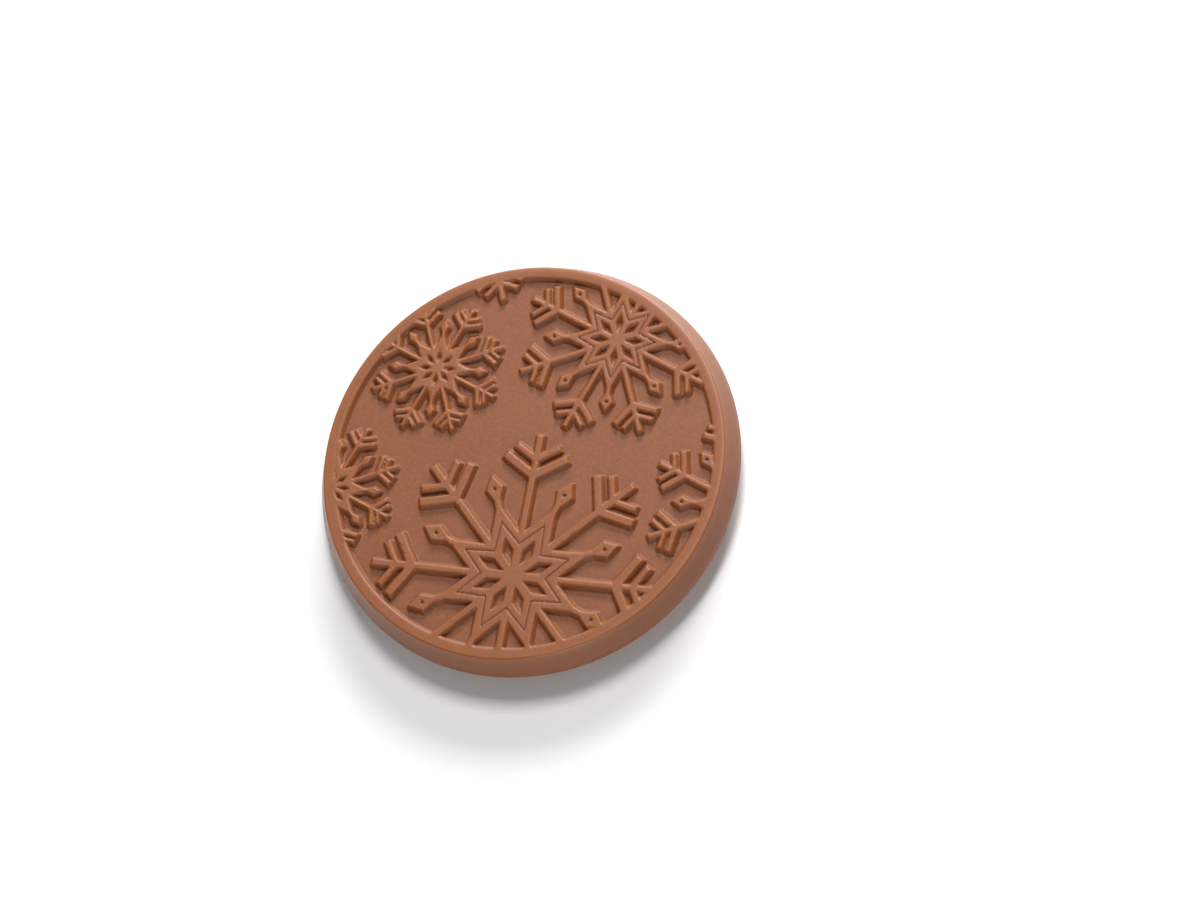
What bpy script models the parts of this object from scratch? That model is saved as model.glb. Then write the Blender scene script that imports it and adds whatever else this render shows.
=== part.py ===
# A chocolate-backed biscuit: a moulded milk-chocolate disc with a snowflake relief on its face,
# and an embossed butter biscuit that is pressed into its back.
# It lies flat: the biscuit below, the snowflakes on top, the origin under the middle.

import math

import bmesh
import bpy
from mathutils import Matrix, Vector

MM = 0.001

# Heights, from the surface that the biscuit lies on.
BISCUIT_STANDOFF = 3.0 * MM
DISC_THICKNESS = 4.4 * MM
SEAT_DEPTH = 0.8 * MM
GAP = 0.3 * MM
RELIEF_DEPTH = 0.8 * MM
BACK_Z = BISCUIT_STANDOFF
FACE_Z = BACK_Z + DISC_THICKNESS
FIELD_Z = FACE_Z - RELIEF_DEPTH
SEAT_Z = BACK_Z + SEAT_DEPTH + GAP
BISCUIT_TOP_Z = BACK_Z + SEAT_DEPTH

# Chocolate disc.
BACK_RADIUS = 33.05 * MM
FACE_RADIUS = 31.6 * MM
RIM_INNER_RADIUS = 29.75 * MM
FACE_ROUNDING = 0.65 * MM
BACK_ROUNDING = 0.3 * MM
ROUNDING_STEPS = 3
DISC_SEGMENTS = 120
SIDE_SLOPE = 0.2                # the rounding of the face starts this far round, on the drafted side
RIM_CUT_RADIUS = 30.6 * MM      # snowflakes stop here, inside the rim

# Snowflake relief: sides lean out by this much over the relief's depth.
WALL_RUN = 0.45 * MM
WALL_LEAN = WALL_RUN / RELIEF_DEPTH
RELIEF_ROOT = 0.3 * MM          # how far the relief reaches into the disc
TOP_CLEARANCE = 0.02 * MM       # the relief's tops lie this far under the rim's
ARMS = 8
ARM_STEP = 2 * math.pi / ARMS

# One snowflake, as fractions of its radius. A long arm runs along the first axis.
STEM_ROOT = 0.15                # a stem starts here, inside the star
STEM_HALF_WIDTH = 0.0205
FORK_ROOTS = (0.714, 0.829)
FORK_TIPS = ((0.848, 0.214), (0.921, 0.149))
FORK_HALF_WIDTHS = (0.0262, 0.0186)
STAR_VALLEY = 0.286
SHORT_ARM = ((0.490, 0.0190), (0.560, 0.0175), (0.648, 0.0570))
SHORT_ARM_TIP = 0.737
STAR_GROOVE = (0.395, 0.2265)   # tip and valley of the fine line that repeats the star
DIAMOND = (0.072, 0.290, 0.0415)        # near and far corner and half width, at the top
PIT_PLACE = 0.643
GROOVE_HALF_WIDTH = 0.2 * MM
GROOVE_DEPTH = 0.3 * MM
PIT_HALF_WIDTH = 0.4 * MM
PIT_LEAN = 0.5
DIAMOND_FLOOR = 0.1 * MM        # a diamond's floor lies this far over the field, or higher in a small one
DIAMOND_FLOOR_SHARE = 0.2       # a diamond's floor is at least this wide, as a share of its top
FINE_LINE_RADIUS = 12 * MM      # smaller snowflakes have no groove and no pits

# Centre, radius and turn of each snowflake on the face.
SNOWFLAKES = (
    ((0.4 * MM, -18.4 * MM), 22.5 * MM, -5.4),
    ((13.0 * MM, 19.4 * MM), 15.5 * MM, 18.4),
    ((-15.1 * MM, 15.0 * MM), 10.5 * MM, 18.4),
    ((-29.9 * MM, -4.4 * MM), 10.5 * MM, 18.4),
    ((35.2 * MM, -7.2 * MM), 15.2 * MM, 18.6),
    ((-10.6 * MM, 42.7 * MM), 17.2 * MM, 16.3),
)

# Biscuit.
BISCUIT_RADIUS = 29.4 * MM
RIDGES = 60
RIDGE_STEPS = 4
RIDGE_WAVE = (0.0, 0.72, 1.0, 0.72)
RING_SEGMENTS = 120
BISCUIT_FIELD_Z = 0.5 * MM
ORNAMENT_Z = 0.05 * MM
ORNAMENT_ROOT = 0.3 * MM
ORNAMENT_LEAN = 0.5
MOTIFS = 12
SCROLL_PLACE = 15.3 * MM
SCROLL_RADII = (3.3 * MM, 1.9 * MM)     # a scroll winds in from the first to the second
SCROLL_SWEEP = 4.6
SCROLL_HALF_WIDTH = 0.42 * MM
SCROLL_SIDES = 10
BEAD_RADIUS = 0.75 * MM
BEAD_SIDES = 8
CIRCLE_RADIUS = 9.6 * MM
CIRCLE_SEGMENTS = 40
RAY_SPAN = (4.6 * MM, 8.0 * MM)
RAY_HALF_WIDTH = 0.5 * MM
BOSS_RADIUS = 3.2 * MM
BOSS_SIDES = 24

# Clean-up of the joined solids.
MERGE_DISTANCE = 0.004 * MM
SLIVER_DISTANCE = 0.002 * MM
FLAT_ANGLE = math.radians(0.5)
SHARP_ANGLE = math.radians(30)


def clear_scene():
    for thing in list(bpy.data.objects):
        bpy.data.objects.remove(thing)


def food_material(name, colour, roughness):
    material = bpy.data.materials.new(name)
    material.use_nodes = True
    shader = material.node_tree.nodes["Principled BSDF"]
    shader.inputs["Base Color"].default_value = (*colour, 1.0)
    shader.inputs["Roughness"].default_value = roughness
    shader.inputs["Metallic"].default_value = 0.0
    return material


def add_from_bmesh(name, bm):
    """A new object from a closed shape, with its faces turned outward."""
    bmesh.ops.recalc_face_normals(bm, faces=bm.faces)
    mesh = bpy.data.meshes.new(name)
    bm.to_mesh(mesh)
    bm.free()
    solid = bpy.data.objects.new(name, mesh)
    bpy.context.collection.objects.link(solid)
    return solid


def add_solid(name, points, faces):
    bm = bmesh.new()
    corners = [bm.verts.new(point) for point in points]
    for face in faces:
        bm.faces.new([corners[i] for i in face])
    return add_from_bmesh(name, bm)


def remove_solid(solid):
    mesh = solid.data
    bpy.data.objects.remove(solid)
    bpy.data.meshes.remove(mesh)


def turned(name, profile, segments):
    """Solid of revolution: the profile runs from axis to axis, round the outside."""
    bm = bmesh.new()
    line = [bm.verts.new((radius, 0.0, height)) for radius, height in profile]
    edges = [bm.edges.new(pair) for pair in zip(line, line[1:])]
    bmesh.ops.spin(bm, geom=line + edges, cent=(0, 0, 0), axis=(0, 0, 1),
                   angle=2 * math.pi, steps=segments, use_merge=True)
    bmesh.ops.remove_doubles(bm, verts=bm.verts, dist=SLIVER_DISTANCE)
    return add_from_bmesh(name, bm)


def grown(outline, amount):
    """The outline with each side moved outward by an amount, corners mitred."""
    corners = []
    for before, here, after in zip(outline[-1:] + outline[:-1], outline, outline[1:] + outline[:1]):
        side_in = (here - before).normalized()
        side_out = (after - here).normalized()
        normal_in = Vector((side_in.y, -side_in.x))
        normal_out = Vector((side_out.y, -side_out.x))
        corners.append(here + (normal_in + normal_out) * amount / (1 + normal_in.dot(normal_out)))
    return corners


def leaning_prism(name, outline, top, foot, lean):
    """Prism with the outline at its top, whose sides lean outward on the way to its foot."""
    wide = grown(outline, abs(top - foot) * lean)
    count = len(outline)
    points = [(p.x, p.y, foot) for p in wide] + [(p.x, p.y, top) for p in outline]
    faces = [tuple(range(count)), tuple(range(count, 2 * count))]
    for i in range(count):
        j = (i + 1) % count
        faces.append((i, j, count + j, count + i))
    return add_solid(name, points, faces)


def bar(start, end, half_width):
    """Straight strip from start to end with square ends, counter-clockwise."""
    along = (end - start).normalized()
    side = Vector((-along.y, along.x)) * half_width
    return [start - side, end - side, end + side, start + side]


def placed(outline, snowflake, arm_turn):
    """An outline in snowflake fractions, set on the face at one arm."""
    centre, radius, turn = snowflake
    spin = Matrix.Rotation(math.radians(turn) + arm_turn, 2)
    return [Vector(centre) + spin @ (point * radius) for point in outline]


def star_outline():
    """The star in the middle and its eight short arms, one closed line."""
    points = []
    for arm in range(ARMS):
        middle = (arm + 0.5) * ARM_STEP
        points.append(Matrix.Rotation(arm * ARM_STEP, 2) @ Vector((STAR_VALLEY, 0.0)))
        local = [Vector((along, -across)) for along, across in SHORT_ARM]
        local.append(Vector((SHORT_ARM_TIP, 0.0)))
        local += [Vector((along, across)) for along, across in reversed(SHORT_ARM)]
        points += [Matrix.Rotation(middle, 2) @ point for point in local]
    return points


def long_arm_outlines():
    """The strips of one long arm: its stem and two pairs of forks."""
    strips = [bar(Vector((STEM_ROOT, 0.0)), Vector((1.0, 0.0)), STEM_HALF_WIDTH)]
    for root, tip, half_width in zip(FORK_ROOTS, FORK_TIPS, FORK_HALF_WIDTHS):
        for side in (-1, 1):
            strips.append(bar(Vector((root, 0.0)), Vector((tip[0], side * tip[1])), half_width))
    return strips


def reaches_field(outline):
    """Whether a strip's middle line comes inside the rim."""
    start = (outline[0] + outline[3]) / 2
    end = (outline[1] + outline[2]) / 2
    steps = 12
    nearest = min((start.lerp(end, i / steps)).length for i in range(steps + 1))
    return nearest < RIM_INNER_RADIUS + WALL_RUN


def raised_pieces(snowflake):
    """The solids that make one snowflake, before they are joined."""
    top = FACE_Z - TOP_CLEARANCE
    foot = FIELD_Z - RELIEF_ROOT
    centre, radius, _ = snowflake
    pieces = []
    if Vector(centre).length - SHORT_ARM_TIP * radius < RIM_INNER_RADIUS:
        star = placed(star_outline(), snowflake, 0.0)
        pieces.append(leaning_prism("star", star, top, foot, WALL_LEAN))
    for arm in range(ARMS):
        for strip in long_arm_outlines():
            outline = placed(strip, snowflake, arm * ARM_STEP)
            if reaches_field(outline):
                pieces.append(leaning_prism("strip", outline, top, foot, WALL_LEAN))
    return pieces


def diamond_cutters(snowflake):
    """The sunk diamonds between the spokes of the star, whose walls lean like the relief's."""
    near, far, half_width = DIAMOND
    middle = (near + far) / 2
    rhombus = [Vector((near, 0.0)), Vector((middle, -half_width)),
               Vector((far, 0.0)), Vector((middle, half_width))]
    half_length = (far - near) / 2
    inner_radius = snowflake[1] * half_length * half_width / math.hypot(half_length, half_width)
    depth = min(RELIEF_DEPTH - DIAMOND_FLOOR, (1 - DIAMOND_FLOOR_SHARE) * inner_radius / WALL_LEAN)
    cutters = []
    for arm in range(ARMS):
        outline = placed(rhombus, snowflake, (arm + 0.5) * ARM_STEP)
        floor = grown(outline, -WALL_LEAN * depth)
        cutters.append(leaning_prism("diamond", floor, FACE_Z - depth, FACE_Z + RELIEF_ROOT, WALL_LEAN))
    return cutters


def groove_cutter(snowflake):
    """A V-shaped groove that repeats the star's outline inside its arms."""
    corners = []
    for arm in range(ARMS):
        for distance, turn in ((STAR_GROOVE[1], arm), (STAR_GROOVE[0], arm + 0.5)):
            corners.append(Matrix.Rotation(turn * ARM_STEP, 2) @ Vector((distance, 0.0)))
    line = placed(corners, snowflake, 0.0)
    above = GROOVE_DEPTH
    widening = GROOVE_HALF_WIDTH * (above + GROOVE_DEPTH) / GROOVE_DEPTH
    rings = (
        (grown(line, widening), FACE_Z + above),
        (grown(line, -widening), FACE_Z + above),
        (line, FACE_Z - GROOVE_DEPTH),
    )
    count = len(line)
    points = [(p.x, p.y, height) for ring, height in rings for p in ring]
    faces = []
    for ring in range(len(rings)):
        other = (ring + 1) % len(rings)
        for i in range(count):
            j = (i + 1) % count
            faces.append((ring * count + i, ring * count + j, other * count + j, other * count + i))
    return add_solid("groove", points, faces)


def pit_cutters(snowflake):
    """The small square pits in the heads of the short arms."""
    centre, radius, turn = snowflake
    cutters = []
    for arm in range(ARMS):
        angle = math.radians(turn) + (arm + 0.5) * ARM_STEP
        place = Vector(centre) + PIT_PLACE * radius * Vector((math.cos(angle), math.sin(angle)))
        corners = [place + PIT_HALF_WIDTH / 2 * Vector((math.cos(angle + k * math.pi / 2),
                                                        math.sin(angle + k * math.pi / 2)))
                   for k in range(4)]
        cutters.append(leaning_prism("pit", corners, FACE_Z - GROOVE_DEPTH, FACE_Z + GROOVE_DEPTH,
                                     PIT_LEAN))
    return cutters


def combine(base, operation, others):
    """Joins, cuts or crops the base with other solids, which are then removed."""
    group = bpy.data.collections.new("operands")
    for other in others:
        group.objects.link(other)
        other.hide_render = True
        other.display_type = "WIRE"
    modifier = base.modifiers.new(operation.lower(), "BOOLEAN")
    modifier.operation = operation
    modifier.operand_type = "COLLECTION"
    modifier.collection = group
    view = bpy.context.evaluated_depsgraph_get()
    joined = bpy.data.meshes.new_from_object(base.evaluated_get(view))
    base.modifiers.clear()
    base.data = joined
    for other in others:
        remove_solid(other)
    bpy.data.collections.remove(group)
    return base


def merge_flat_faces(solid):
    """Joins faces that lie in one plane and removes the slivers that joining solids leaves."""
    bm = bmesh.new()
    bm.from_mesh(solid.data)
    bmesh.ops.remove_doubles(bm, verts=bm.verts, dist=MERGE_DISTANCE)
    bmesh.ops.dissolve_degenerate(bm, dist=SLIVER_DISTANCE, edges=bm.edges)
    bmesh.ops.dissolve_limit(bm, angle_limit=FLAT_ANGLE, use_dissolve_boundaries=False,
                             verts=bm.verts, edges=bm.edges, delimit=set())
    bmesh.ops.triangulate(bm, faces=bm.faces)
    bm.to_mesh(solid.data)
    bm.free()


def arc(centre, radius, start, end, steps):
    """Points on a circle from one angle to another."""
    return [(centre[0] + radius * math.cos(start + (end - start) * i / steps),
             centre[1] + radius * math.sin(start + (end - start) * i / steps))
            for i in range(steps + 1)]


def disc_profile():
    """Half section of the disc: seat, back, drafted side, rounded edge, rim and sunk field."""
    quarter = math.pi / 2
    back = arc((BACK_RADIUS - BACK_ROUNDING, BACK_Z + BACK_ROUNDING), BACK_ROUNDING, -quarter, 0.0,
               ROUNDING_STEPS)
    face = arc((FACE_RADIUS - FACE_ROUNDING, FACE_Z - FACE_ROUNDING), FACE_ROUNDING, SIDE_SLOPE, quarter,
               ROUNDING_STEPS)
    seat_radius = BISCUIT_RADIUS + GAP
    seat = [(0.0, SEAT_Z), (seat_radius, SEAT_Z), (seat_radius, BACK_Z)]
    rim = [(RIM_INNER_RADIUS, FACE_Z), (RIM_INNER_RADIUS - WALL_RUN, FIELD_Z), (0.0, FIELD_Z)]
    return seat + back + face + rim


def chocolate_disc():
    relief = []
    for snowflake in SNOWFLAKES:
        relief += raised_pieces(snowflake)
    joined = combine(relief[0], "UNION", relief[1:])
    cutters = []
    for snowflake in SNOWFLAKES:
        centre, radius, _ = snowflake
        if Vector(centre).length > BACK_RADIUS:
            continue
        cutters += diamond_cutters(snowflake)
        if radius > FINE_LINE_RADIUS:
            cutters.append(groove_cutter(snowflake))
            cutters += pit_cutters(snowflake)
    joined = combine(joined, "DIFFERENCE", cutters)
    inside = turned("inside", [(0.0, BACK_Z), (RIM_CUT_RADIUS, BACK_Z),
                               (RIM_CUT_RADIUS, FACE_Z + DISC_THICKNESS),
                               (0.0, FACE_Z + DISC_THICKNESS)], DISC_SEGMENTS)
    joined = combine(joined, "INTERSECT", [inside])
    disc = turned("chocolate_disc", disc_profile(), DISC_SEGMENTS)
    disc = combine(disc, "UNION", [joined])
    merge_flat_faces(disc)
    return disc


def ridged_rings():
    """Rings of the ridged edge, from the top down to the ornament: on a crest and in a groove."""
    return (
        ((28.90 * MM, 3.80 * MM), (28.60 * MM, 3.80 * MM)),
        ((29.40 * MM, 3.30 * MM), (28.95 * MM, 3.30 * MM)),
        ((29.20 * MM, 1.50 * MM), (28.70 * MM, 1.70 * MM)),
        ((28.30 * MM, 0.45 * MM), (27.90 * MM, 0.90 * MM)),
        ((26.50 * MM, 0.00 * MM), (26.30 * MM, 0.50 * MM)),
        ((24.00 * MM, 0.00 * MM), (24.00 * MM, 0.45 * MM)),
        ((23.40 * MM, 0.45 * MM), (23.40 * MM, 0.45 * MM)),
    )


def plain_rings():
    """Rings of the two raised circles, from the ridges in to the sunk field."""
    return (
        (22.60 * MM, 0.45 * MM),
        (22.25 * MM, 0.05 * MM),
        (21.45 * MM, 0.05 * MM),
        (21.15 * MM, 0.45 * MM),
        (20.75 * MM, 0.10 * MM),
        (20.10 * MM, 0.10 * MM),
        (19.75 * MM, BISCUIT_FIELD_Z),
    )


def ring_points(radius_at, height_at, count):
    points = []
    for i in range(count):
        angle = 2 * math.pi * i / count
        points.append((radius_at(i) * math.cos(angle), radius_at(i) * math.sin(angle), height_at(i)))
    return points


def biscuit_body():
    """The biscuit without its ornament: a ridged, rounded edge round two raised circles."""
    fine = RIDGES * RIDGE_STEPS
    points = [(0.0, 0.0, BISCUIT_TOP_Z)]
    starts = []
    for crest, groove in ridged_rings():
        starts.append((len(points), fine))
        mix = [Vector(groove).lerp(Vector(crest), RIDGE_WAVE[i % RIDGE_STEPS]) for i in range(fine)]
        points += ring_points(lambda i: mix[i].x, lambda i: mix[i].y, fine)
    for radius, height in plain_rings():
        starts.append((len(points), RING_SEGMENTS))
        points += ring_points(lambda i: radius, lambda i: height, RING_SEGMENTS)
    points.append((0.0, 0.0, BISCUIT_FIELD_Z))
    faces = []
    for (outer, many), (inner, few) in zip(starts, starts[1:]):
        ratio = many // few
        for i in range(few):
            outer_run = [outer + (i * ratio + k) % many for k in range(ratio + 1)]
            faces.append((*outer_run[::-1], inner + i, inner + (i + 1) % few))
    first, last = starts[0], starts[-1]
    faces += [(0, first[0] + i, first[0] + (i + 1) % first[1]) for i in range(first[1])]
    faces += [(len(points) - 1, last[0] + (i + 1) % last[1], last[0] + i) for i in range(last[1])]
    return add_solid("biscuit", points, faces)


def circle_outline(centre, radius, sides):
    return [Vector(point) for point in arc(centre, radius, 0.0, 2 * math.pi, sides)[:-1]]


def scroll_outline(angle):
    """A strip that winds inward round its own centre, counter-clockwise."""
    centre = SCROLL_PLACE * Vector((math.cos(angle), math.sin(angle)))
    outer, inner = [], []
    for i in range(SCROLL_SIDES + 1):
        share = i / SCROLL_SIDES
        turn = angle - SCROLL_SWEEP / 2 + SCROLL_SWEEP * share
        radius = SCROLL_RADII[0] + (SCROLL_RADII[1] - SCROLL_RADII[0]) * share
        ray = Vector((math.cos(turn), math.sin(turn)))
        outer.append(centre + ray * (radius + SCROLL_HALF_WIDTH))
        inner.append(centre + ray * (radius - SCROLL_HALF_WIDTH))
    return outer + inner[::-1]


def ornament_outlines():
    """Scrolls in a ring with a bead in each, rays inside them, and a round boss in the middle."""
    outlines = []
    for i in range(MOTIFS):
        angle = 2 * math.pi * i / MOTIFS
        outlines.append(scroll_outline(angle))
        ray = Vector((math.cos(angle), math.sin(angle)))
        outlines.append(circle_outline(ray * SCROLL_PLACE, BEAD_RADIUS, BEAD_SIDES))
        outlines.append(bar(ray * RAY_SPAN[0], ray * RAY_SPAN[1], RAY_HALF_WIDTH))
    return outlines


def raised_circle(foot):
    """A raised ring with leaning sides between the scrolls and the rays."""
    half = SCROLL_HALF_WIDTH
    foot_half = half + (foot - ORNAMENT_Z) * ORNAMENT_LEAN
    section = ((CIRCLE_RADIUS - half, ORNAMENT_Z), (CIRCLE_RADIUS + half, ORNAMENT_Z),
               (CIRCLE_RADIUS + foot_half, foot), (CIRCLE_RADIUS - foot_half, foot))
    points = []
    for radius, height in section:
        points += ring_points(lambda i: radius, lambda i: height, CIRCLE_SEGMENTS)
    faces = []
    for k in range(len(section)):
        here = k * CIRCLE_SEGMENTS
        there = (k + 1) % len(section) * CIRCLE_SEGMENTS
        for i in range(CIRCLE_SEGMENTS):
            j = (i + 1) % CIRCLE_SEGMENTS
            faces.append((here + i, there + i, there + j, here + j))
    return add_solid("circle", points, faces)


def biscuit():
    body = biscuit_body()
    foot = BISCUIT_FIELD_Z + ORNAMENT_ROOT
    pieces = [leaning_prism("scroll", outline, ORNAMENT_Z, foot, ORNAMENT_LEAN)
              for outline in ornament_outlines()]
    boss = circle_outline((0.0, 0.0), BOSS_RADIUS, BOSS_SIDES)
    pieces.append(leaning_prism("boss", boss, 0.0, foot, ORNAMENT_LEAN))
    pieces.append(raised_circle(foot))
    body = combine(body, "UNION", pieces)
    merge_flat_faces(body)
    return body


def finish(solid, name, material):
    solid.name = name
    solid.data.materials.clear()
    solid.data.materials.append(material)
    solid.data.shade_smooth()
    solid.data.set_sharp_from_angle(angle=SHARP_ANGLE)


def main():
    clear_scene()
    milk_chocolate = food_material("milk_chocolate", (0.335, 0.130, 0.062), 0.42)
    baked_biscuit = food_material("baked_biscuit", (0.800, 0.560, 0.310), 0.80)
    finish(chocolate_disc(), "chocolate_disc", milk_chocolate)
    finish(biscuit(), "biscuit", baked_biscuit)


main()
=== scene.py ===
import itertools
import math

import bpy
import numpy as np
from mathutils import Matrix, Vector


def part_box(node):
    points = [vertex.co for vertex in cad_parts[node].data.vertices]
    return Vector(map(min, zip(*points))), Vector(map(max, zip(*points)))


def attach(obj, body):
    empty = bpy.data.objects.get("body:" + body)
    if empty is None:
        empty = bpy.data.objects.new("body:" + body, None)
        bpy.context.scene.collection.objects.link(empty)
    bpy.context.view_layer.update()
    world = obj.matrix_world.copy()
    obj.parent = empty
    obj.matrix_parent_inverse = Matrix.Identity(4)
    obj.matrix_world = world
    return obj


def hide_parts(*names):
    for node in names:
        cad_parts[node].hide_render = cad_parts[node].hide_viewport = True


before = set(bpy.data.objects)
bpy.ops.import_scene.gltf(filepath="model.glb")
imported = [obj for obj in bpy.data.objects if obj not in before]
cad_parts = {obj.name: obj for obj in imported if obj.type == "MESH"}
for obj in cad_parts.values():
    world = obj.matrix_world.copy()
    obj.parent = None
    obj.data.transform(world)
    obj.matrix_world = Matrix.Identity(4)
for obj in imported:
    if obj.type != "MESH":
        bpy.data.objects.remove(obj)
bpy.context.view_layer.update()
mm = 0.001
print("frame loaded:", sorted(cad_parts))


def smoothStep(share):
    # 3t² - 2t³ of the share, held between 0 and 1
    t = np.clip(share, 0, 1)
    return t * t * (3 - 2 * t)


def bell(distance, width):
    # e to the power of minus the square of distance over width: 1 at distance 0, and soon 0
    return np.exp(-(distance / width) ** 2)


def stripDistance(x, y, start, end, halfWidth):
    # how far a point is past the sides or the ends of a straight strip, negative inside it
    length = math.dist(start, end)
    dx, dy = (end[0] - start[0]) / length, (end[1] - start[1]) / length
    along = (x - start[0]) * dx + (y - start[1]) * dy
    across = (y - start[1]) * dx - (x - start[0]) * dy
    pastEnd = abs(along - length / 2) - length / 2
    pastSide = abs(across) - halfWidth
    outside = np.hypot(np.maximum(pastEnd, 0), np.maximum(pastSide, 0))
    return outside + np.minimum(np.maximum(pastEnd, pastSide), 0)


def polygonDistance(x, y, corners):
    # distance to the nearest side, negative where the point's winding shows that it is inside
    nearest = np.full(x.shape, np.inf)
    sign = np.ones(x.shape)
    for (ax, ay), (bx, by) in zip(corners, corners[-1:] + corners[:-1]):
        ex, ey = bx - ax, by - ay
        wx, wy = x - ax, y - ay
        share = np.clip((wx * ex + wy * ey) / (ex * ex + ey * ey), 0, 1)
        nearest = np.minimum(nearest, np.hypot(wx - ex * share, wy - ey * share))
        above, below, left = y >= ay, y < by, ex * wy > ey * wx
        sign = np.where((above & below & left) | ~(above | below | left), -sign, sign)
    return sign * nearest


def latticeNoise(points, cell, seed):
    # random values on a cubic lattice of that cell, blended smoothly between its corners, -1 to 1
    side = 32
    values = np.random.default_rng(seed).uniform(-1, 1, (side, side, side))
    scaled = points / cell
    low = np.floor(scaled).astype(int)
    share = smoothStep(scaled - low)
    total = np.zeros(len(points))
    for corner in itertools.product((0, 1), repeat=3):
        weight = np.prod(np.where(corner, share, 1 - share), axis=1)
        i, j, k = ((low + corner) % side).T
        total += weight * values[i, j, k]
    return total


def cornersCut(line, rounds):
    # each corner of an open line is replaced by points a quarter of the way along its two sides
    line = np.array(line, float)
    for _ in range(rounds):
        near, far = 0.75 * line[:-1] + 0.25 * line[1:], 0.25 * line[:-1] + 0.75 * line[1:]
        inner = np.stack([near, far], axis=1).reshape(-1, line.shape[1])
        line = np.vstack([line[:1], inner[1:-1], line[-1:]])
    return line


def arcPoints(centre, radius, start, end, steps):
    # the centre plus the radius times cosine and sine of evenly spaced angles
    angle = np.linspace(start, end, steps + 1)
    return np.stack([centre[0] + radius * np.cos(angle), centre[1] + radius * np.sin(angle)], -1)


# Both pieces are closed discs: a square net over one face, carried on in rings round the side and
# the other face to a point in its middle.

def discNet(rings):
    # a unit disc as a square net: a point's ring is the larger of its two counts from the middle,
    # and its angle is 45 degrees times its share along that ring's side
    count = np.arange(-rings, rings + 1)
    across, up = np.meshgrid(count, count, indexing="ij")
    ring = np.maximum(abs(across), abs(up))
    wide = abs(across) >= abs(up)
    under = np.where(wide, across, up)
    share = np.where(wide, up, -across) / np.where(under == 0, 1, under)
    start = np.where(wide, np.where(across < 0, 2, 0), np.where(up < 0, 3, 1)) * math.pi / 2
    return ring / rings, start + math.pi / 4 * share


def anglesAround(rings):
    # the angles of the net's outermost points, from the first axis round
    return np.arange(8 * rings) * math.pi / (4 * rings)


def ringsOf(profile, angles):
    # a profile of (radius, height) turned round the axis: one row of points per profile point
    radius, height = np.array(profile, float).T
    return np.stack([radius[:, None] * np.cos(angles), radius[:, None] * np.sin(angles),
                     np.repeat(height[:, None], len(angles), axis=1)], axis=-1)


def discTriangles(points, rings, loftRings):
    # cells of the net, then of the rings round it, then a fan that closes the last ring. A cell is
    # split along the diagonal whose ends differ less in height, so that folds follow the edges
    side = 2 * rings + 1
    net = np.arange(side * side).reshape(side, side)
    cells = np.stack([net[:-1, :-1], net[1:, :-1], net[1:, 1:], net[:-1, 1:]], -1).reshape(-1, 4)
    radius, angle = discNet(rings)
    edge = net[radius == 1]
    edge = edge[np.argsort(angle[radius == 1] % (2 * math.pi))]
    loft = side * side + np.arange(loftRings * len(edge)).reshape(loftRings, len(edge))
    rows = np.vstack([edge, loft])
    turned = np.roll(rows, -1, axis=1)
    band = np.stack([rows[:-1], rows[1:], turned[1:], turned[:-1]], -1).reshape(-1, 4)
    cells = np.vstack([cells, band])
    height = points[:, 2][cells]
    other = abs(height[:, 1] - height[:, 3]) < abs(height[:, 0] - height[:, 2])
    a, b, c, d = cells.T
    first = np.stack([a, b, np.where(other, d, c)], -1)
    second = np.stack([np.where(other, b, a), c, d], -1)
    centre = np.full(len(edge), len(points) - 1)
    fan = np.stack([rows[-1], centre, turned[-1]], -1)
    return np.vstack([first, second, fan])


def addSurface(name, points, triangles, masks, facing=()):
    # points in mm become an object of smooth triangles; masks are one number per point, and the
    # first points may say which way their surface faces
    mesh = bpy.data.meshes.new(name)
    mesh.vertices.add(len(points))
    mesh.vertices.foreach_set("co", (points * mm).ravel())
    mesh.loops.add(triangles.size)
    mesh.loops.foreach_set("vertex_index", triangles.ravel())
    mesh.polygons.add(len(triangles))
    mesh.polygons.foreach_set("loop_start", np.arange(0, triangles.size, 3))
    mesh.update(calc_edges=True)
    mesh.shade_smooth()
    for mask, values in masks.items():
        mesh.attributes.new(mask, "FLOAT", "POINT").data.foreach_set("value", values)
    if len(facing):
        normals = np.empty(3 * len(points), np.float32)
        mesh.vertex_normals.foreach_get("vector", normals)
        normals = normals.reshape(-1, 3)
        normals[:len(facing)] = facing / np.linalg.norm(facing, axis=1)[:, None]
        mesh.normals_split_custom_set_from_vertices(normals)
    piece = bpy.data.objects.new(name, mesh)
    bpy.context.scene.collection.objects.link(piece)
    print(name, len(triangles), "triangles")
    return piece


# The snowflakes on the chocolate face. A length is a share of the snowflake's radius unless it says
# mm, and a long arm runs along the first axis.
snowflake = dict(
    stem=0.0205,                                        # half width
    forks=(((0.714, 0), (0.848, 0.214), 0.0262),        # root, tip, half width
           ((0.829, 0), (0.921, 0.149), 0.0186)),
    valley=0.286,                                       # the star's edge between two short arms
    shortArm=((0.490, 0.0190), (0.560, 0.0175), (0.648, 0.0570), (0.737, 0)),
    diamond=((0.072, 0), (0.180, 0.0415), (0.290, 0), (0.180, -0.0415)),
    diamondFloor=0.1,                                   # mm over the field
    grooveTip=0.395, grooveValley=0.2265,
    grooveHalf=0.15, grooveDepth=0.13,                  # mm
    pitPlace=0.643,
    pitRadius=0.30, pitDepth=0.45,                      # mm
    fineLineRadius=12,                                  # mm, smaller ones have no groove and no pits
    # centre in mm, radius in mm, turn in degrees
    places=(((0.4, -18.4), 22.5, -5.4), ((13.0, 19.4), 15.5, 18.4), ((-15.1, 15.0), 10.5, 18.4),
            ((-29.9, -4.4), 10.5, 18.4), ((35.2, -7.2), 15.2, 18.6), ((-10.6, 42.7), 17.2, 16.3)),
)


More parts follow.
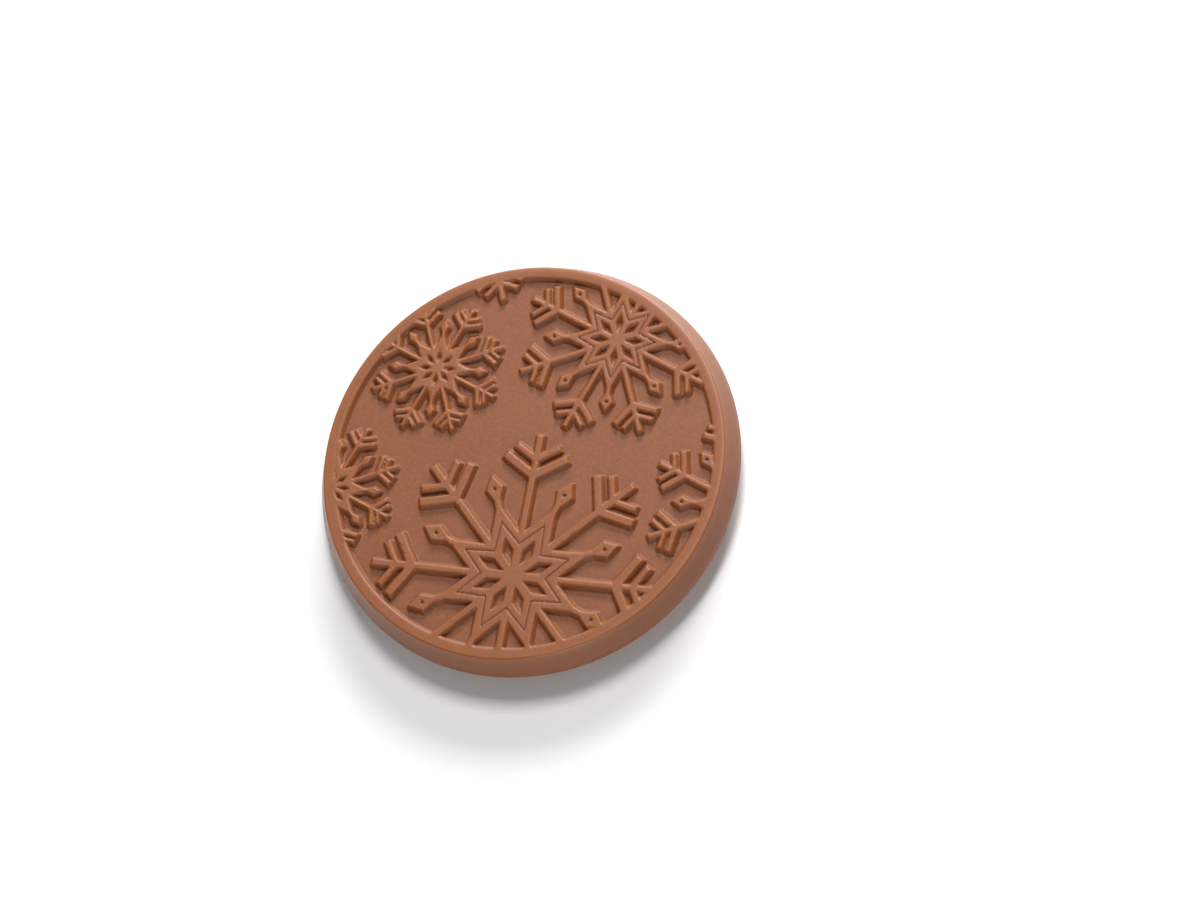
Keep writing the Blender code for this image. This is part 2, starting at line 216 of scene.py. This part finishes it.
def snowflakeEdges(x, y):
    # in each snowflake the plane is folded into one eighth, so one long arm and half a short arm
    # give all eight; distances in mm to the raised outline, the diamonds, the groove and the pits
    s = snowflake
    half = math.pi / 8
    farAway = 99.0
    outline, diamond, groove, pit = (np.full(x.shape, farAway) for _ in range(4))
    star = [(0, 0), (s["valley"] * math.cos(half), s["valley"] * math.sin(half)), *s["shortArm"]]
    star += [(m, -q) for m, q in reversed(star[1:-1])]
    grooveTip = (s["grooveTip"] * math.cos(half), s["grooveTip"] * math.sin(half))
    for (cx, cy), size, turn in s["places"]:
        radius = np.hypot(x - cx, y - cy) / size
        angle = np.arctan2(y - cy, x - cx) - math.radians(turn)
        angle = abs((angle + half) % (2 * half) - half)
        along, across = radius * np.cos(angle), radius * np.sin(angle)
        shortAlong = along * math.cos(half) + across * math.sin(half)
        shortAcross = abs(across * math.cos(half) - along * math.sin(half))
        body = stripDistance(along, across, (0, 0), (1, 0), s["stem"])
        for root, tip, halfWidth in s["forks"]:
            body = np.minimum(body, stripDistance(along, across, root, tip, halfWidth))
        body = np.minimum(body, polygonDistance(shortAlong, shortAcross, star))
        outline = np.minimum(outline, body * size)
        hole = polygonDistance(shortAlong, shortAcross, list(s["diamond"]))
        diamond = np.minimum(diamond, hole * size)
        if size > s["fineLineRadius"]:
            line = stripDistance(along, across, grooveTip, (s["grooveValley"], 0), 0)
            groove = np.minimum(groove, line * size)
            pit = np.minimum(pit, np.hypot(shortAlong - s["pitPlace"], shortAcross) * size)
    return outline, diamond, groove, pit


# The chocolate disc, in mm.
discLow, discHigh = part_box("chocolate_disc")
chocolate = dict(
    back=discLow.z / mm, face=discHigh.z / mm, backRadius=discHigh.x / mm, faceRadius=31.6,
    relief=0.8, wall=0.45,                              # depth of the field, width of a wall
    rimInner=29.75, rimMiddle=30.7,                     # radii of its inner edge and its middle
    # the rim's inner wall and its rounded top: radius and height over the field
    rimSection=((29.45, 0.0), (29.70, 0.64), (29.80, 0.73), (29.95, 0.785), (30.15, 0.8)),
    faceRounding=0.38, faceRoundingEnd=0.2,             # radius; the angle where the side begins
    backRounding=0.3, backRadii=(31.2, 30.3),           # radius; two rings on the flat back
    seatRadius=29.55, seatMiddle=0.3, seatDepth=1.1,    # two heights over the back
    # the lip round the seat: height, width, and share of the height at its outer side
    lip=0.12, lipWidth=0.3, lipShoulder=0.7,
    softening=0.16,                                     # half the width over which a fold is rounded
    rings=134, gatherRounds=40, gatherGain=2.5, gatherWidth=0.35,
    wave=0.012, waveCell=2.6,                           # unevenness of the moulded face
    rubAndHighlightPlace=0.02, rubAndHighlightWidth=0.22, edgeRubAndHighlight=1.9,          # worn edges with a painted highlight along them, and how strong both are on the outer edge
    footShadeWidth=0.10, creaseGain=1.4,                     # painted shade at the feet of the walls, and in the grooves and pits
)


def faceHeight(x, y):
    # a snowflake stands at full height inside its outline and falls to the field over the wall's
    # width; diamonds, grooves and pits are taken out of it; the rim stands round them all. The
    # second result is the distance past the nearest raised edge
    c, s = chocolate, snowflake
    outline, diamond, groove, pit = snowflakeEdges(x, y)
    pastRim = c["rimInner"] - np.hypot(x, y)
    raised = np.clip(1 - outline / c["wall"], 0, 1)
    sunk = c["relief"] * np.clip(1 + diamond / c["wall"], 0, 1)
    height = np.where(outline < 0, np.maximum(sunk, s["diamondFloor"]), c["relief"] * raised)
    height -= s["grooveDepth"] * np.clip(1 - groove / s["grooveHalf"], 0, 1) * raised
    height -= s["pitDepth"] * np.clip(1 - pit / s["pitRadius"], 0, 1) * raised
    height = np.maximum(height, np.interp(np.hypot(x, y), *np.transpose(c["rimSection"])))
    return height, np.minimum(outline, pastRim)


def faceFacing(x, y):
    # the upward normal of the slope between points one softening to either side
    soft = chocolate["softening"]
    slopeX = (faceHeight(x + soft, y)[0] - faceHeight(x - soft, y)[0]) / (2 * soft)
    slopeY = (faceHeight(x, y + soft)[0] - faceHeight(x, y - soft)[0]) / (2 * soft)
    return np.stack([-slopeX, -slopeY, np.ones(len(x))], -1)


def creaseShare(x, y):
    # 1 near the middle of a groove or a pit on top of a snowflake, falling evenly to 0 at its edge:
    # the share of painted shade there
    c, s = chocolate, snowflake
    outline, _, groove, pit = snowflakeEdges(x, y)
    onTop = (outline < 0) & (np.hypot(x, y) < c["rimInner"])
    inGroove, inPit = 1 - groove / s["grooveHalf"], 1 - pit / s["pitRadius"]
    return onTop * np.clip(c["creaseGain"] * np.maximum(inGroove, inPit), 0, 1)


def faceCreases(x, y):
    # signed distances to the lines where the face folds: tops and feet of the walls, grooves, pits,
    # and a circle just inside the rim's foot
    outline, diamond, groove, pit = snowflakeEdges(x, y)
    wall = chocolate["wall"]
    floor = wall * (1 - snowflake["diamondFloor"] / chocolate["relief"])
    circle = np.hypot(x, y) - (chocolate["rimSection"][0][0] - chocolate["softening"])
    return np.stack([outline, outline - wall, diamond, diamond + floor,
                     groove, groove - snowflake["grooveHalf"], pit, circle])


def gathered(x, y):
    # each inner point of the square net moves to the mean of its four neighbours, again and again,
    # where a neighbour near a fold weighs more: the net closes up along the folds
    c = chocolate

    def aroundEach(values):
        return values[:-2, 1:-1] + values[2:, 1:-1] + values[1:-1, :-2] + values[1:-1, 2:]

    for _ in range(c["gatherRounds"]):
        near = abs(faceCreases(x, y)).min(axis=0)
        weight = 1 + c["gatherGain"] * bell(near, c["gatherWidth"])
        total = aroundEach(weight)
        for place in (x, y):
            place[1:-1, 1:-1] = aroundEach(weight * place) / total
    return x, y


def netSpacing(x, y):
    # mean distance from a point of the net to its neighbours
    down, along = np.hypot(*np.gradient(x)), np.hypot(*np.gradient(y))
    return np.hypot(down, along) / math.sqrt(2)


def drawnToCreases(x, y, reach):
    # a point nearer than the reach to a fold moves onto it, down the slope of the fold's distance
    step, steepEnough = 0.002, 0.3
    here = faceCreases(x, y)
    pick = abs(here).argmin(axis=0)[None]
    near = np.take_along_axis(here, pick, 0)[0]
    slopeX = (np.take_along_axis(faceCreases(x + step, y), pick, 0)[0] - near) / step
    slopeY = (np.take_along_axis(faceCreases(x, y + step), pick, 0)[0] - near) / step
    steep = slopeX ** 2 + slopeY ** 2
    moves = (abs(near) < reach) & (steep > steepEnough)
    amount = np.where(moves, near / np.maximum(steep, steepEnough), 0)
    return x - amount * slopeX, y - amount * slopeY


def discSection():
    # radius and height from the rim round to the seat: the rim's top, the rounded edge, the sloping
    # side, the rounding under it, the flat back, the lip and the seat's wall
    c, quarter = chocolate, math.pi / 2
    top = [(radius, c["face"]) for radius, _ in c["rimSection"][1:]] + [(c["rimMiddle"], c["face"])]
    rounding = arcPoints((c["faceRadius"] - c["faceRounding"], c["face"] - c["faceRounding"]),
                         c["faceRounding"], quarter, c["faceRoundingEnd"], 5)
    sideTop, sideFoot = rounding[-1], (c["backRadius"], c["back"] + c["backRounding"])
    side = [sideTop + (np.array(sideFoot) - sideTop) * share for share in (0.25, 0.5, 0.75)]
    turnUnder = arcPoints((c["backRadius"] - c["backRounding"], c["back"] + c["backRounding"]),
                          c["backRounding"], 0, -quarter, 3)
    flatBack = [(radius, c["back"]) for radius in c["backRadii"]]
    seat = [(c["seatRadius"] + c["lipWidth"], c["back"] - c["lipShoulder"] * c["lip"]),
            (c["seatRadius"], c["back"] - c["lip"]), (c["seatRadius"], c["back"] + c["seatMiddle"]),
            (c["seatRadius"], c["back"] + c["seatDepth"])]
    return np.vstack([top, rounding, side, turnUnder, flatBack, seat]), len(top), len(rounding)


def facePlace(rimPoints):
    # where the face's points lie in the plane: the gathered net and the rim's rings, drawn twice to
    # the folds over at most half a cell; a point on the rim keeps its distance from the axis
    innerRim, rings = chocolate["rimSection"][0][0], chocolate["rings"]
    radius, angle = discNet(rings)
    netX, netY = gathered(innerRim * radius * np.cos(angle), innerRim * radius * np.sin(angle))
    net = np.stack([netX, netY], -1).reshape(-1, 2)
    x, y = np.vstack([net, rimPoints]).T
    kept = np.hypot(x, y)
    reach = np.full(len(x), 0.5 * innerRim / rings)
    reach[:len(net)] = 0.5 * netSpacing(netX, netY).ravel()
    for _ in range(2):
        x, y = drawnToCreases(x, y, reach)
    onRim = kept > innerRim - 0.01
    scale = np.where(onRim, kept / np.maximum(np.hypot(x, y), 1e-6), 1)
    return x * scale, y * scale, len(net)


def chocolateDisc():
    # the net and the rim's rings stand at faceHeight over the field, and the rest of the section is
    # turned round the axis from there to the floor of the seat
    c = chocolate
    section, rimRings, edgeRings = discSection()
    around = anglesAround(c["rings"])
    loft = ringsOf(section, around)
    x, y, netCount = facePlace(loft[:rimRings, :, :2].reshape(-1, 2))
    height, edge = faceHeight(x, y)
    top = np.stack([x, y, c["face"] - c["relief"] + height], -1)
    rest = loft[rimRings:].reshape(-1, 3)
    points = np.vstack([top, rest, [(0, 0, c["back"] + c["seatDepth"])]])
    triangles = discTriangles(points, c["rings"], len(section))
    points[:netCount, 2] -= abs(latticeNoise(points[:netCount], c["waveCell"], 11) * c["wave"])

    def withRest(values, elsewhere=0.0):
        # the values on top, then one value for all other points
        return np.append(values, np.full(len(points) - len(values), elsewhere))

    # rub: wear and a painted highlight along the edges of the raised tops and the rim
    masks = {"rubAndHighlight": withRest(bell(edge - c["rubAndHighlightPlace"], c["rubAndHighlightWidth"])),
             # foot: painted shade at the feet of the walls
             "footShade": withRest(bell(edge - c["wall"], c["footShadeWidth"])),
             # crease: painted shade in the grooves and pits
             "crease": withRest(creaseShare(x, y)),
             # raised: how high a point stands, which paints shade over the sunk field
             "raised": withRest(height / c["relief"], 1.0)}
    # the rounded outer edge is painted paler still: wear and a painted highlight
    masks["rubAndHighlight"][len(top):len(top) + edgeRings * len(around)] = c["edgeRubAndHighlight"]
    return addSurface("chocolate_face_disc", points, triangles, masks, faceFacing(x, y)[:netCount])


# The biscuit in the back, in mm.
biscuit = dict(
    top=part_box("biscuit")[1].z / mm, ridges=60, ridgePower=2.4, rings=120,
    netRadius=23.4, field=0.5,                          # the ornament's radius and its ground's height
    # the ridged edge from the ornament outwards and up: radius and height on a rib and between ribs
    crest=((23.4, 0.45), (24.0, 0.04), (26.5, 0.0), (28.2, 0.42), (29.15, 1.5), (29.36, 3.2),
           (28.9, 3.8)),
    valley=((23.4, 0.45), (24.0, 0.45), (26.3, 0.52), (27.8, 0.95), (28.65, 1.7), (28.95, 3.2),
            (28.6, 3.8)),
    # raised circles: middle radius, half width, height over the field
    circles=((21.85, 0.55, 0.45), (20.42, 0.42, 0.40), (9.6, 0.42, 0.45)), circleWall=0.45,
    motifs=12, scrollPlace=15.3, scrollRadii=(3.3, 1.9), scrollSweep=4.6, scrollHalf=0.42,
    bead=0.75, ray=(4.6, 8.0), rayHalf=0.5, boss=3.2, raised=0.45, wall=0.5,
    crumb=0.035, crumbCell=0.55, fineCrumb=0.6, crumbLimit=0.4, swell=0.06, swellCell=4.0,
    edgeTurn=1.6,                                       # how soon the edge swells sideways, not down
    # golden colour: painted shade at a wall's foot, whose place is a share of the wall's width, and
    # between ribs, more so further up; real browning all round from some share of the way up the edge
    footShadePlace=0.8, footShadeWidth=0.32, circleFootShadeWidth=0.3,
    valleyShade=0.85, valleyShadeGain=0.35, goldenFrom=0.35, goldenOver=0.45, goldenTop=0.95,
)


def ornamentEdge(x, y):
    # the plane is turned into one of twelve equal sectors; distance in mm to the scroll, bead and ray
    b = biscuit
    sector = 2 * math.pi / b["motifs"]
    radius, angle = np.hypot(x, y), np.arctan2(y, x)
    angle = (angle + sector / 2) % sector - sector / 2
    u, v = radius * np.cos(angle) - b["scrollPlace"], radius * np.sin(angle)
    reach, turn = np.hypot(u, v), np.arctan2(v, u)
    share = np.clip(turn / b["scrollSweep"] + 0.5, 0, 1)
    wanted = b["scrollRadii"][0] + (b["scrollRadii"][1] - b["scrollRadii"][0]) * share
    turn = (share - 0.5) * b["scrollSweep"]
    scroll = np.hypot(u - wanted * np.cos(turn), v - wanted * np.sin(turn)) - b["scrollHalf"]
    bead = reach - b["bead"]
    ray = stripDistance(u + b["scrollPlace"], v, (b["ray"][0], 0), (b["ray"][1], 0), b["rayHalf"])
    boss = radius - b["boss"]
    return np.minimum(np.minimum(scroll, bead), np.minimum(ray, boss))


def undersideHeight(x, y):
    # how far the underside stands out below the field, and how near a point is to a wall's foot, where
    # shade is painted
    b = biscuit
    edge = ornamentEdge(x, y)
    height = b["raised"] * smoothStep(1 - edge / b["wall"])
    footShade = bell(edge - b["footShadePlace"] * b["wall"], b["footShadeWidth"])
    radius = np.hypot(x, y)
    for middle, halfWidth, tall in b["circles"]:
        past = abs(radius - middle) - halfWidth
        height = np.maximum(height, tall * smoothStep(1 - past / b["circleWall"]))
        circleFootShade = bell(past - b["footShadePlace"] * b["circleWall"], b["circleFootShadeWidth"])
        footShade = np.maximum(footShade, circleFootShade)
    return height, footShade


def ridgeWave(angles):
    # 1 along the middle of a rib and 0 in the narrow valley between two ribs: 1 less a power of the
    # distance from the rib's middle, in half ribs
    share = abs((angles * biscuit["ridges"] / (2 * math.pi)) % 1 * 2 - 1)
    return 1 - (1 - share) ** biscuit["ridgePower"]


def butterBiscuit():
    # the underside's net stands out by undersideHeight from the field; round it, the section blends
    # from valley to crest by ridgeWave; noise then moves each point along its outward direction
    b = biscuit
    radius, angle = discNet(b["rings"])
    around = anglesAround(b["rings"])
    x = (b["netRadius"] * radius * np.cos(angle)).ravel()
    y = (b["netRadius"] * radius * np.sin(angle)).ravel()
    height, footShade = undersideHeight(x, y)
    net = np.stack([x, y, b["field"] - height], -1)
    wave = ridgeWave(around)[None, :, None]
    crest, valley = cornersCut(b["crest"], 2)[1:], cornersCut(b["valley"], 2)[1:]
    section = valley[:, None] + (crest - valley)[:, None] * wave
    loft = np.stack([section[..., 0] * np.cos(around), section[..., 0] * np.sin(around),
                     section[..., 1]], -1)
    points = np.vstack([net, loft.reshape(-1, 3), [(0, 0, b["top"])]])

    # outwards is down under the net, turns to the side along the edge, and is nothing on the top
    ringShare = np.linspace(0, 1, len(crest))[:, None] + 0 * around
    down = 1 - smoothStep(ringShare * b["edgeTurn"])
    aside = ringsOf([(1, 0)], around) * (1 - down)[..., None]
    aside[..., 2] -= down
    outward = np.vstack([np.tile((0.0, 0.0, -1.0), (len(net), 1)), aside.reshape(-1, 3), [(0, 0, 0)]])
    crumb = latticeNoise(points, b["crumbCell"], 3)
    crumb += b["fineCrumb"] * latticeNoise(points, 0.5 * b["crumbCell"], 4)
    swell = latticeNoise(points, b["swellCell"], 5)
    amount = b["crumb"] * np.minimum(crumb, b["crumbLimit"]) + b["swell"] * (swell - 1) * 0.5
    points += outward * amount[:, None]

    triangles = discTriangles(points, b["rings"], len(crest))[:, ::-1]
    # painted shade in the valleys between the ribs, and real browning up the edge
    between = (1 - ridgeWave(around)) * (b["valleyShade"] + b["valleyShadeGain"] * ringShare)
    rise = b["goldenTop"] * np.clip((ringShare - b["goldenFrom"]) / b["goldenOver"], 0, 1)
    goldenAndShade = np.concatenate([footShade, np.maximum(between, rise).ravel(), [0]])
    return addSurface("butter_biscuit", points, triangles, {"goldenAndShade": goldenAndShade})


class Value:
    # a node's output; sums on it add Math nodes
    def __init__(self, maker, socket):
        self.maker, self.socket = maker, socket

    def math(self, operation, *values):
        return self.maker.node("ShaderNodeMath", {"operation": operation}, dict(enumerate(values)))

    def __add__(self, other):
        return self.math("ADD", self, other)

    def __radd__(self, other):
        return self.math("ADD", other, self)

    def __sub__(self, other):
        return self.math("SUBTRACT", self, other)

    def __rsub__(self, other):
        return self.math("SUBTRACT", other, self)

    def __mul__(self, other):
        return self.math("MULTIPLY", self, other)

    def __rmul__(self, other):
        return self.math("MULTIPLY", other, self)


class Finish:
    # builds one material; its shader's even values are set on the sockets themselves
    def __init__(self, name, **even):
        self.material = bpy.data.materials.new(name)
        self.material.use_nodes = True
        self.tree = self.material.node_tree
        self.shader = self.tree.nodes["Principled BSDF"]
        for socket, value in even.items():
            self.shader.inputs[socket.replace("_", " ")].default_value = value
        self.place = self.node("ShaderNodeTexCoord", output="Object")

    def node(self, kind, settings=None, inputs=None, output=0):
        # a node of that kind with its settings, then the values or links of its sockets
        made = self.tree.nodes.new(kind)
        for setting, value in (settings or {}).items():
            setattr(made, setting, value)
        for socket, value in (inputs or {}).items():
            if isinstance(value, Value):
                self.tree.links.new(value.socket, made.inputs[socket])
            else:
                made.inputs[socket].default_value = value
        return Value(self, made.outputs[output])

    def noise(self, size, detail=2.0, roughness=0.5):
        # soft noise whose patches are about that size in metres, 0 to 1
        return self.node("ShaderNodeTexNoise", None, {"Vector": self.place, "Scale": 1 / size,
                                                      "Detail": detail, "Roughness": roughness})

    def mask(self, name):
        return self.node("ShaderNodeAttribute", {"attribute_name": name}, output="Fac")

    def between(self, value, low, high):
        # 0 below low, 1 above high, smooth between
        return self.node("ShaderNodeMapRange", {"interpolation_type": "SMOOTHSTEP"},
                         {0: value, 1: low, 2: high, 3: 0.0, 4: 1.0})

    def mixed(self, share, first, second):
        # colours blended by a share
        def full(colour):
            return colour if isinstance(colour, Value) else (*colour, 1)
        return self.node("ShaderNodeMix", {"data_type": "RGBA"},
                         {0: share, 6: full(first), 7: full(second)}, output=2)

    def distanceFromAxis(self):
        flat = self.node("ShaderNodeVectorMath", {"operation": "MULTIPLY"},
                         {0: self.place, 1: (1.0, 1.0, 0.0)})
        return self.node("ShaderNodeVectorMath", {"operation": "LENGTH"}, {0: flat}, output="Value")

    def bump(self, strength, distance, height):
        return self.node("ShaderNodeBump", None,
                         {"Strength": strength, "Distance": distance, "Height": height})

    def linkVarying(self, **varying):
        # links what changes over the surface, painted shade and painted highlight included
        for socket, value in varying.items():
            self.tree.links.new(value.socket, self.shader.inputs[socket.replace("_", " ")])
        return self.material


# Milk chocolate. A noise is its size in metres, its detail and its roughness, and a band is where a
# noise begins to count and where it counts in full.
milk = dict(
    # deep: a darker tone, used by the tone noise and as painted shade over the sunk field
    colour=(0.246, 0.070, 0.014), pale=(0.300, 0.098, 0.026), deep=(0.196, 0.052, 0.009),
    # shade: the colour of the painted shade in grooves, pits and at the feet of walls
    shade=(0.050, 0.008, 0.002),
    broad=(0.011, 3.0), grain=(0.00042, 3.0, 0.6), cloud=(0.0028, 4.0, 0.6),
    toneBand=(0.30, 0.72), grainBand=(0.35, 0.75),
    sideBand=(0.35, 0.10),                              # mm inside the face's edge
    # worn: the share of pale for worn edges and their painted highlight
    faceGrain=0.50, sideGrainLess=0.30, wornAndHighlight=0.40, creased=0.80, footed=0.25,
    faceRoughness=0.56, sideRoughness=0.35,
    cloudRoughness=0.16, wornRoughness=0.04, creaseRoughness=0.35,
    bumpStrength=0.35, bumpDistance=0.00003,
)


def milkChocolate():
    m = milk
    finish = Finish("milk_chocolate", Specular_IOR_Level=0.54, IOR=1.50, Subsurface_Weight=0.45,
                    Subsurface_Radius=(1.0, 0.30, 0.10), Subsurface_Scale=0.0005)
    broad, grain, cloud = (finish.noise(*m[name]) for name in ("broad", "grain", "cloud"))
    rubAndHighlight, crease, footShade = finish.mask("rubAndHighlight"), finish.mask("crease"), finish.mask("footShade")
    sideFrom, sideTo = ((chocolate["faceRadius"] - inside) * mm for inside in m["sideBand"])
    side = finish.between(finish.distanceFromAxis(), sideFrom, sideTo)

    tone = finish.between(broad * 0.6 + cloud * 0.4, *m["toneBand"])
    # darker in the sunk field than on the raised tops: painted shade; the noise tone is the
    # chocolate's own
    colour = finish.mixed(tone * 0.5 + finish.mask("raised") * 0.5, m["deep"], m["colour"])
    grainShare = finish.between(grain, *m["grainBand"]) * (m["faceGrain"] - m["sideGrainLess"] * side)
    colour = finish.mixed(grainShare, colour, m["pale"])
    # paler along worn edges, which also carries a painted highlight
    colour = finish.mixed(rubAndHighlight * m["wornAndHighlight"], colour, m["pale"])
    # painted shade in grooves and pits and at the feet of the walls
    colour = finish.mixed(crease * m["creased"] + footShade * m["footed"], colour, m["shade"])

    rough = m["faceRoughness"] + (m["sideRoughness"] - m["faceRoughness"]) * side
    rough = rough + (cloud - 0.5) * m["cloudRoughness"] + crease * m["creaseRoughness"]
    rough = rough - rubAndHighlight * (m["wornRoughness"] - m["wornRoughness"] * side)
    bump = finish.bump(m["bumpStrength"], m["bumpDistance"], grain * 0.7 + cloud * 0.6)
    return finish.linkVarying(Base_Color=colour, Roughness=rough, Normal=bump)


# Baked crust, in the same terms: pale and warm patches, golden and browned where the golden mask and
# a noise say so, real browning up the edge and painted shade in hollows, and fine pores.
crust = dict(
    pale=(0.780, 0.590, 0.430), warm=(0.750, 0.480, 0.290), goldenAndShade=(0.640, 0.275, 0.085),
    brownedAndShade=(0.370, 0.140, 0.035),
    patch=(0.006, 4.0, 0.6), crumb=(0.0006, 4.0, 0.65), pore=(0.0009, 2.0),
    toneBand=(0.35, 0.70), goldenAndShadeBand=(0.12, 0.90), brownedAndShadeBand=(0.85, 1.35), poreBand=(0.68, 0.78),
    warmShare=0.6, goldenAndShadeShare=0.90, brownedAndShadeShare=0.75, poreShare=0.35,
    roughness=0.78, crumbRoughness=0.2, bumpStrength=0.6, bumpDistance=0.00008,
)


def bakedCrust():
    c = crust
    finish = Finish("baked_biscuit", Specular_IOR_Level=0.35, Subsurface_Weight=0.10,
                    Subsurface_Radius=(1.0, 0.55, 0.25), Subsurface_Scale=0.0010)
    goldenAndShade = finish.mask("goldenAndShade")
    patch, crumb, pore = (finish.noise(*c[name]) for name in ("patch", "crumb", "pore"))
    tone = finish.between(patch * 0.7 + crumb * 0.3, *c["toneBand"])
    colour = finish.mixed(tone * c["warmShare"], c["pale"], c["warm"])
    # golden, then browned: real browning up the edge, and painted shade at walls' feet and between
    # ribs
    bakedAndShade = finish.between(goldenAndShade + (crumb - 0.5) * 0.5, *c["goldenAndShadeBand"])
    colour = finish.mixed(bakedAndShade * c["goldenAndShadeShare"], colour, c["goldenAndShade"])
    bakedAndShade = finish.between(goldenAndShade + (patch - 0.5) * 0.6, *c["brownedAndShadeBand"])
    colour = finish.mixed(bakedAndShade * c["brownedAndShadeShare"], colour, c["brownedAndShade"])
    pores = finish.between(pore, *c["poreBand"])
    colour = finish.mixed(pores * c["poreShare"], colour, c["goldenAndShade"])
    rough = c["roughness"] + (crumb - 0.5) * c["crumbRoughness"]
    bump = finish.bump(c["bumpStrength"], c["bumpDistance"], crumb - pores * 0.5)
    return finish.linkVarying(Base_Color=colour, Roughness=rough, Normal=bump)


# Floor, light and camera.
studio = dict(
    floorSize=3.0, floorColour=(0.86, 0.86, 0.86), floorRoughness=0.6,
    # two soft lamps on one side, one high and one that grazes the face, and a weak one opposite:
    # azimuth, elevation, size, power
    lamps=dict(high=(84, 57, (0.26, 0.22), 5.3), low=(84, 27, (0.46, 0.22), 9.8),
               fill=(280, 22, (0.50, 0.30), 3.2)),
    lampDistance=0.9, skyStrength=0.17,
    # mm from the middle of the face
    cameraOffset=(194.3, -220.5, 613.7),
    cameraRight=(0.96317, 0.09153, -0.25284), cameraForward=(-0.26890, 0.32785, -0.90565),
    lens=135, sensorWidth=36, clip=(0.01, 10),
)


def paleFloor():
    half = studio["floorSize"] / 2
    corners = [(-half, -half, 0), (half, -half, 0), (half, half, 0), (-half, half, 0)]
    mesh = bpy.data.meshes.new("floor")
    mesh.from_pydata(corners, [], [(0, 1, 2, 3)])
    floor = bpy.data.objects.new("floor", mesh)
    bpy.context.scene.collection.objects.link(floor)
    finish = Finish("floor_white", Roughness=studio["floorRoughness"],
                    Base_Color=(*studio["floorColour"], 1))
    mesh.materials.append(finish.material)


def softLight():
    world = bpy.data.worlds.new("studio")
    world.use_nodes = True
    background = world.node_tree.nodes["Background"]
    background.inputs["Color"].default_value = (1, 1, 1, 1)
    background.inputs["Strength"].default_value = studio["skyStrength"]
    bpy.context.scene.world = world
    for name, (azimuth, elevation, size, power) in studio["lamps"].items():
        lamp = bpy.data.lights.new(name, "AREA")
        lamp.shape = "RECTANGLE"
        lamp.size, lamp.size_y = size
        lamp.energy = power
        holder = bpy.data.objects.new(name, lamp)
        turn, rise = math.radians(azimuth), math.radians(elevation)
        level = math.cos(rise)
        away = Vector((math.cos(turn) * level, math.sin(turn) * level, math.sin(rise)))
        holder.location = away * studio["lampDistance"]
        holder.rotation_euler = away.to_track_quat("Z", "Y").to_euler()
        bpy.context.scene.collection.objects.link(holder)


def tableCamera():
    # the camera looks down on the face from the front right, turned by its own right-hand axis
    lens = bpy.data.cameras.new("camera")
    lens.lens, lens.sensor_width = studio["lens"], studio["sensorWidth"]
    lens.clip_start, lens.clip_end = studio["clip"]
    camera = bpy.data.objects.new("camera", lens)
    right = Vector(studio["cameraRight"]).normalized()
    forward = Vector(studio["cameraForward"]).normalized()
    turn = Matrix((right, right.cross(forward), -forward)).transposed().to_4x4()
    place = Vector(studio["cameraOffset"]) * mm + Vector((0, 0, discHigh.z))
    camera.matrix_world = Matrix.Translation(place) @ turn
    bpy.context.scene.collection.objects.link(camera)
    bpy.context.scene.camera = camera


face = chocolateDisc()
face.data.materials.append(milkChocolate())
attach(face, "root")
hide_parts("chocolate_disc")
print("chocolate disc done")

base = butterBiscuit()
base.data.materials.append(bakedCrust())
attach(base, "root")
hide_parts("biscuit")
print("biscuit done")

paleFloor()
softLight()
tableCamera()
bpy.context.scene.view_settings.view_transform = "Standard"
print("studio done")
